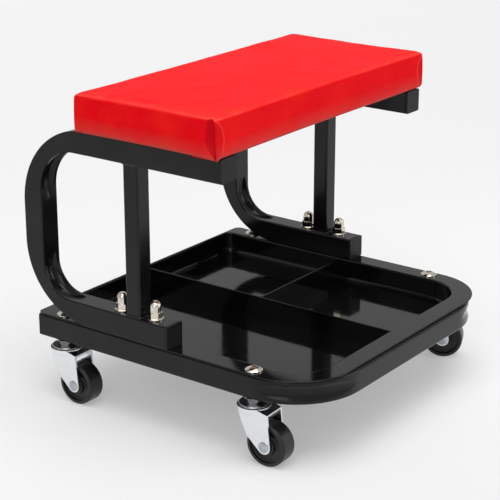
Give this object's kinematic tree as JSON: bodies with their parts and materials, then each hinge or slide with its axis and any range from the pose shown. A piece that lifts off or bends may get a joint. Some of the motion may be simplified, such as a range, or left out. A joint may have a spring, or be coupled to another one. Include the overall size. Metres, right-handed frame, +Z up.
{
  "type": "creeper seat",
  "caption": "Low rolling workshop seat: padded vinyl seat on two bent square-tube side frames over a divided tool tray, carried by swivelling casters.",
  "frame": {"origin": "on the floor under the middle of the overall box", "axes": "+X across the seat along its long side, +Y to the rear where the side frames are closed, +Z up"},
  "size_m": [0.3862, 0.372, 0.3525],
  "materials": {
    "black_frame": "semi-gloss black powder coat on steel tube",
    "black_tray": "glossy black enamel on pressed steel sheet",
    "black_plastic": "moulded black plastic, fine grain",
    "wheel_plastic": "moulded black plastic, satin",
    "red_vinyl": "smooth red vinyl with a fine leather grain",
    "foam": "upholstery foam",
    "plywood": "raw plywood",
    "nickel": "polished nickel plate on steel",
    "zinc": "bright zinc plate on steel",
    "dark_race": "dark oiled steel"
  },
  "bodies": {
    "root": {"base_rail": "black_frame", "rail_end_caps": "black_plastic", "tray": "black_tray", "tray_divider_long": "black_tray", "tray_divider_cross": "black_tray", "left_side_tube": "black_frame", "right_side_tube": "black_frame", "left_post": "black_frame", "right_post": "black_frame", "post_welds": "black_frame", "tube_end_caps": "black_plastic", "frame_bolts": "nickel", "frame_washers": "nickel", "acorn_nuts": "nickel", "seat_board": "plywood", "seat_foam": "foam", "seat_cover": "red_vinyl", "seat_staples": "zinc", "seat_bolts": "nickel", "seat_tee_nuts": "zinc", "caster_bolts": "nickel", "caster_nuts": "zinc", "caster_top_races": "dark_race", "caster_balls": "zinc", "caster_lock_nuts": "zinc"},
    "front_left_swivel": {"front_left_fork": "zinc", "front_left_axle": "zinc"},
    "front_left_roller": {"front_left_wheel": "wheel_plastic", "front_left_bush": "zinc"},
    "rear_left_swivel": {"rear_left_fork": "zinc", "rear_left_axle": "zinc"},
    "rear_left_roller": {"rear_left_wheel": "wheel_plastic", "rear_left_bush": "zinc"},
    "front_right_swivel": {"front_right_fork": "zinc", "front_right_axle": "zinc"},
    "front_right_roller": {"front_right_wheel": "wheel_plastic", "front_right_bush": "zinc"},
    "rear_right_swivel": {"rear_right_fork": "zinc", "rear_right_axle": "zinc"},
    "rear_right_roller": {"rear_right_wheel": "wheel_plastic", "rear_right_bush": "zinc"}
  },
  "joints": [
    {"name": "front_left_swivel_turn", "type": "hinge", "parent": "root", "child": "front_left_swivel", "pos_m": [-0.17, -0.106, 0.0585], "axis": [0, 0, 1], "continuous": true},
    {"name": "front_left_wheel_spin", "type": "hinge", "parent": "front_left_swivel", "child": "front_left_roller", "pos_m": [-0.16895, -0.12597, 0.0225], "axis": [0.9986, 0.0523, 0], "continuous": true},
    {"name": "rear_left_swivel_turn", "type": "hinge", "parent": "root", "child": "rear_left_swivel", "pos_m": [-0.17, 0.1455, 0.0585], "axis": [0, 0, 1], "continuous": true},
    {"name": "rear_left_wheel_spin", "type": "hinge", "parent": "rear_left_swivel", "child": "rear_left_roller", "pos_m": [-0.17, 0.1255, 0.0225], "axis": [1, 0, 0], "continuous": true},
    {"name": "front_right_swivel_turn", "type": "hinge", "parent": "root", "child": "front_right_swivel", "pos_m": [0.17, -0.106, 0.0585], "axis": [0, 0, 1], "continuous": true},
    {"name": "front_right_wheel_spin", "type": "hinge", "parent": "front_right_swivel", "child": "front_right_roller", "pos_m": [0.17781, -0.12441, 0.0225], "axis": [0.9205, 0.3907, 0], "continuous": true},
    {"name": "rear_right_swivel_turn", "type": "hinge", "parent": "root", "child": "rear_right_swivel", "pos_m": [0.17, 0.1455, 0.0585], "axis": [0, 0, 1], "continuous": true},
    {"name": "rear_right_wheel_spin", "type": "hinge", "parent": "rear_right_swivel", "child": "rear_right_roller", "pos_m": [0.16722, 0.12569, 0.0225], "axis": [0.9903, -0.1392, 0], "continuous": true}
  ]
}
